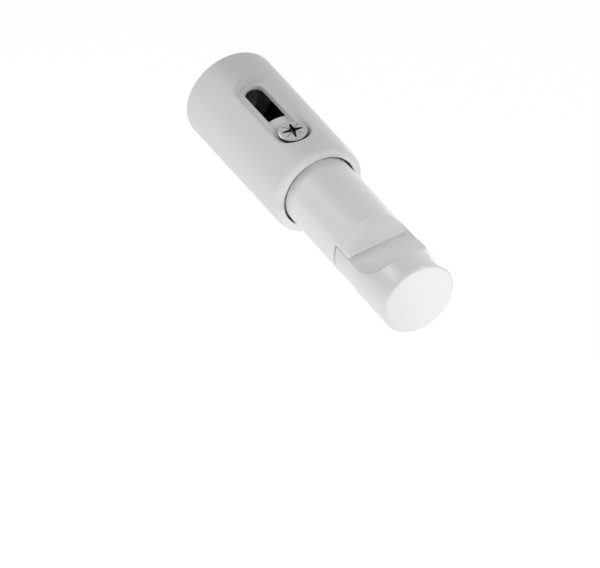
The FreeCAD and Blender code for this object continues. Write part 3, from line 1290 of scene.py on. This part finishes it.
@dataclass
class Coil:
    """A rod of even section swept along a helix by a node tree: a thread, or a split washer.

    Sizes are in millimetres. The helix rises along Z before it is turned and placed. Each input of
    the node tree has the name of the field that feeds it.
    """

    name: str
    radius: float
    rise: float
    turns: float
    across: float
    along: float
    section: Section
    turn: Spot
    place: Spot
    steps: int = 48
    sockets: ClassVar[Dict[str, str]] = {
        "Radius": "Float", "Rise": "Float", "Turns": "Float", "Across": "Float", "Along": "Float",
        "Steps": "Int", "Turn": "Rotation", "Place": "Vector", "Finish": "Material"}

    def tree(self) -> bpy.types.NodeTree:
        """The node tree, with its sizes as inputs.

        Returns:
            A tree that makes the swept mesh.
        """
        tree = bpy.data.node_groups.new(self.name, "GeometryNodeTree")
        for label, kind in self.sockets.items():
            tree.interface.new_socket(label, in_out="INPUT", socket_type="NodeSocket" + kind)
        tree.interface.new_socket("Geometry", in_out="OUTPUT", socket_type="NodeSocketGeometry")
        wiring = Wiring(tree)
        given, result = wiring.add("NodeGroupInput").outputs, wiring.add("NodeGroupOutput")
        helix = wiring.add("GeometryNodeCurveSpiral", {
            "Resolution": given["Steps"], "Rotations": given["Turns"], "Start Radius": given["Radius"],
            "End Radius": given["Radius"], "Height": given["Rise"]})
        upright = wiring.add("GeometryNodeSetCurveNormal", {"Curve": helix.outputs["Curve"]}, mode="Z_UP")
        section = wiring.add("GeometryNodeCurvePrimitiveQuadrilateral", mode=self.section.value)
        wiring.feed(section, {"Width": given["Across"]})
        if self.section is Section.FLAT:
            wiring.feed(section, {"Height": given["Along"]})
        else:
            halved = wiring.add("ShaderNodeMath", {0: given["Along"], 1: 0.5}, operation="MULTIPLY")
            half = halved.outputs["Value"]
            wiring.feed(section, {"Bottom Height": half, "Top Height": half})
        sweep = wiring.add("GeometryNodeCurveToMesh", {
            "Curve": upright.outputs["Curve"], "Profile Curve": section.outputs["Curve"], "Fill Caps": True})
        put = wiring.add("GeometryNodeTransform", {
            "Geometry": sweep.outputs["Mesh"], "Translation": given["Place"], "Rotation": given["Turn"]})
        real = wiring.add("GeometryNodeRealizeInstances", {"Geometry": put.outputs["Geometry"]})
        finish = wiring.add("GeometryNodeSetMaterial", {
            "Geometry": real.outputs["Geometry"], "Material": given["Finish"]})
        wiring.feed(result, {"Geometry": finish.outputs["Geometry"]})
        return tree

    def build(self, finish: bpy.types.Material) -> Mesh:
        """Sweep the section.

        Args:
            finish: the material.
        Returns:
            The swept mesh in millimetres.
        """
        data = bpy.data.meshes.new(self.name)
        piece = bpy.data.objects.new(self.name, data)
        bpy.context.scene.collection.objects.link(piece)
        modifier = piece.modifiers.new(self.name, "NODES")
        tree = self.tree()
        modifier.node_group = tree
        for socket in tree.interface.items_tree:
            if socket.in_out == "INPUT":
                own = finish if socket.name == "Finish" else getattr(self, socket.name.lower())
                modifier[socket.identifier] = own
        bpy.context.view_layer.update()
        graph = bpy.context.evaluated_depsgraph_get()
        made = bpy.data.meshes.new_from_object(piece.evaluated_get(graph))
        mesh = bmesh.new()
        mesh.from_mesh(made)
        bmesh.ops.recalc_face_normals(mesh, faces=mesh.faces)
        piece.modifiers.remove(modifier)
        bpy.data.objects.remove(piece)
        return mesh


def lathe(profile: List[Point], place: Vector, segments: int = 96) -> Mesh:
    """Turn (radius, height) points into a closed upright solid.

    Args:
        profile: points from the axis round to the axis again.
        place: where the axis starts.
        segments: how many sides.
    Returns:
        The closed mesh.
    """
    mesh = bmesh.new()
    rings = []
    for radius, height in profile:
        ring = []
        for k in range(segments):
            angle = 2 * math.pi * k / segments
            spot = Vector((radius * math.cos(angle), radius * math.sin(angle), height))
            ring.append(mesh.verts.new(place + spot))
        rings.append(ring)
    bridge(mesh, rings)
    seal(mesh)
    return mesh


def merged(first: Mesh, second: Mesh) -> Mesh:
    """Put a second mesh's faces into the first.

    Args:
        first: the mesh that grows.
        second: the mesh that is added, which is freed.
    Returns:
        The first mesh.
    """
    data = bpy.data.meshes.new("passing")
    second.to_mesh(data)
    second.free()
    first.from_mesh(data)
    bpy.data.meshes.remove(data)
    return first


@dataclass
class LockScrewForm:
    """M5 screw with a domed head, a cross recess with four fine ticks, and a rolled thread."""

    lock: float = SLOT_NEAR
    seat: float = 13.12
    radius: float = 4.6
    side: float = 1.0
    dome: float = 0.6
    core: float = 2.12
    length: float = 6.0
    pitch: float = 0.8
    arm: float = 3.7
    arm_root: float = 0.72
    arm_tip: float = 0.26
    turned: float = -12.0
    depth: float = 1.2
    taper: float = 1.75
    tick: Spot = (0.9, 3.5, 0.09)
    tick_depth: float = 0.36

    def build(self, finish: bpy.types.Material) -> bpy.types.Object:
        """Build the screw.

        Args:
            finish: its material.
        Returns:
            The new object, which stands for the lock screw's node.
        """
        top = self.side + self.dome
        profile = [(0.0, -self.length), (self.core - 0.5, -self.length), (self.core, -self.length + 0.5),
                   (self.core, 0.0), (self.radius - 0.15, 0.0), (self.radius, 0.15)]
        for step in range(13):
            angle = math.radians(90.0 * step / 12)
            profile.append((self.radius * math.cos(angle) ** 0.8, self.side + self.dome * math.sin(angle)))
        body = lathe(profile, Vector((0, self.lock, self.seat)))
        root, tip = self.arm_root, self.arm_tip
        cross = []
        for quarter in range(4):
            turn = Matrix.Rotation(math.radians(90 * quarter), 2)
            cross += [tuple(turn @ Vector(p)) for p in ((self.arm, -tip), (self.arm, tip), (root, root))]
        tool = prism([(x * 0.6, y * 0.6) for x, y in cross], top - self.depth, top + 0.35, self.taper)
        self.put(tool, 0)
        body = carve(body, tool, Joining.CUT)
        start, stop, half = self.tick
        outline = [(start, -half), (stop, -half), (stop, half), (start, half)]
        for quarter in range(4):
            tick = prism(outline, top - self.tick_depth, top + 0.5)
            self.put(tick, 45 + 90 * quarter)
            body = carve(body, tick, Joining.CUT)
        turns = (self.length - 0.6) / self.pitch
        thread = Coil("lock_thread", self.core, turns * self.pitch, turns, THREAD_DEPTH, THREAD_WIDTH,
                      Section.VEE, (0.0, 0.0, 0.0), (0.0, self.lock, self.seat - self.length + 0.4))
        return piece_from(merged(body, thread.build(finish)), "lock_screw_turned", finish, 28.0)

    def put(self, tool: Mesh, angle: float) -> None:
        """Turn a cutting tool with the cross and set it over the head.

        Args:
            tool: the tool.
            angle: its own turn from the cross, in degrees.
        """
        turn = Matrix.Rotation(math.radians(self.turned + angle), 3, "Z")
        bmesh.ops.rotate(tool, verts=tool.verts, cent=(0, 0, 0), matrix=turn)
        bmesh.ops.translate(tool, verts=tool.verts, vec=(0, self.lock, self.seat))


@dataclass
class ClampScrewForm:
    """M5 x 35 cap screw with a hexagon socket, a knurled head and a rolled thread."""

    seat: float = -69.8
    radius: float = 4.25
    height: float = 5.0
    core: float = 2.12
    length: float = 35.0
    pitch: float = 0.8
    across_flats: float = 4.0
    socket: float = 2.6
    plain_shank: float = 12.0
    knurls: int = 48
    knurl: float = 0.16

    def build(self, finish: bpy.types.Material) -> bpy.types.Object:
        """Build the screw.

        Args:
            finish: its material.
        Returns:
            The new object, which stands for the clamp screw's node.
        """
        mesh = bmesh.new()
        rings = []
        segments = self.knurls * 2
        heights = [(0.0, -self.length, False), (self.core - 0.4, -self.length, False),
                   (self.core, 0.4 - self.length, False), (self.core, 0.0, False),
                   (self.radius - 0.3, 0.0, False), (self.radius, 0.3, True),
                   (self.radius, self.height - 1.0, True), (self.radius - 0.08, self.height - 0.7, False),
                   (self.radius - 0.1, self.height - 0.4, False), (self.radius - 0.5, self.height, False),
                   (0.0, self.height, False)]
        for radius, height, knurled in heights:
            ring = []
            for k in range(segments):
                angle = 2 * math.pi * k / segments
                reach = radius - (self.knurl if knurled and k % 2 else 0.0)
                x, z = reach * math.cos(angle), reach * math.sin(angle)
                ring.append(mesh.verts.new((x, self.seat + height, z)))
            rings.append(ring)
        bridge(mesh, rings)
        seal(mesh)
        corner = self.across_flats / math.sqrt(3)
        angles = [math.radians(60 * k) for k in range(6)]
        tool = prism([(corner * math.cos(angle), corner * math.sin(angle)) for angle in angles],
                     0.0, self.socket + 1)
        laid = Matrix.Rotation(math.radians(-90), 3, "X")
        bmesh.ops.rotate(tool, verts=tool.verts, cent=(0, 0, 0), matrix=laid)
        bmesh.ops.translate(tool, verts=tool.verts, vec=(0, self.seat + self.height - self.socket, 0))
        body = carve(mesh, tool, Joining.CUT)
        turns = (self.length - self.plain_shank) / self.pitch
        thread = Coil("clamp_thread", self.core, turns * self.pitch, turns, THREAD_DEPTH, THREAD_WIDTH,
                      Section.VEE, (math.radians(-90), 0.0, 0.0),
                      (0.0, self.seat - self.length + 0.5, 0.0), 32)
        return piece_from(merged(body, thread.build(finish)), "clamp_screw_turned", finish, 28.0)


@dataclass
class SplitWasherForm:
    """Split spring washer, swept once round and pressed nearly flat."""

    rear: float = -69.8
    front: float = -71.0
    middle: float = 3.6
    width: float = 1.9
    spring: float = 0.12
    turns: float = 0.955

    def build(self, finish: bpy.types.Material) -> bpy.types.Object:
        """Build the washer.

        Args:
            finish: its material.
        Returns:
            The new object, which stands for the spring washer's node.
        """
        thick = self.rear - self.front
        middle = (0.0, self.front + thick / 2 - 0.06, 0.0)
        coil = Coil("split_washer", self.middle, self.spring, self.turns, self.width, thick - 0.16,
                    Section.FLAT, (math.radians(-90), 0.0, 0.0), middle, 72)
        return piece_from(coil.build(finish), "split_washer_bent", finish, 40.0)


def dress_nodes() -> Dict[str, bpy.types.Material]:
    """Give every piece of the frame its finish.

    Returns:
        The finishes by slot.
    """
    made = {name: finish.build() for name, finish in FINISHES.items()}
    slots = {entry["node"]: entry["material_slot"] for entry in frame["record"]["subparts"]}
    for name, piece in frame["nodes"].items():
        piece.data.materials.clear()
        piece.data.materials.append(made[slots[name]])
        LOG.info("dressed %s in %s", name, slots[name])
    return made


class Form(Protocol):
    """Anything that builds one finished piece."""

    def build(self, finish: bpy.types.Material) -> bpy.types.Object:
        """Build the piece in its finish."""


FORMS: List[Tuple[Form, str, str]] = [
    (SleeveForm(), "wall_sleeve", "sleeve"),
    (LinerForm(), "guide_liner", "sleeve"),
    (StemForm(), "stem", "stem"),
    (HeadForm(), "clamp_head", "clamp_head"),
    (LockScrewForm(), "lock_screw", "lock_screw"),
    (ClampScrewForm(), "clamp_screw", "clamp_screw"),
    (SplitWasherForm(), "clamp_spring_washer", "stem"),
]


def main() -> None:
    """Build the scene."""
    logging.basicConfig(level=logging.INFO)
    bpy.context.scene.view_settings.view_transform = "Standard"
    finishes = dress_nodes()
    for form, node, body in FORMS:
        record = next(entry for entry in frame["record"]["subparts"] if entry["node"] == node)
        piece = form.build(finishes[record["material_slot"]])
        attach(piece, body)
        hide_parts(node)
        LOG.info("%s stands for %s on %s", piece.name, node, body)
    Studio().build()


if __name__ == "__main__":
    main()
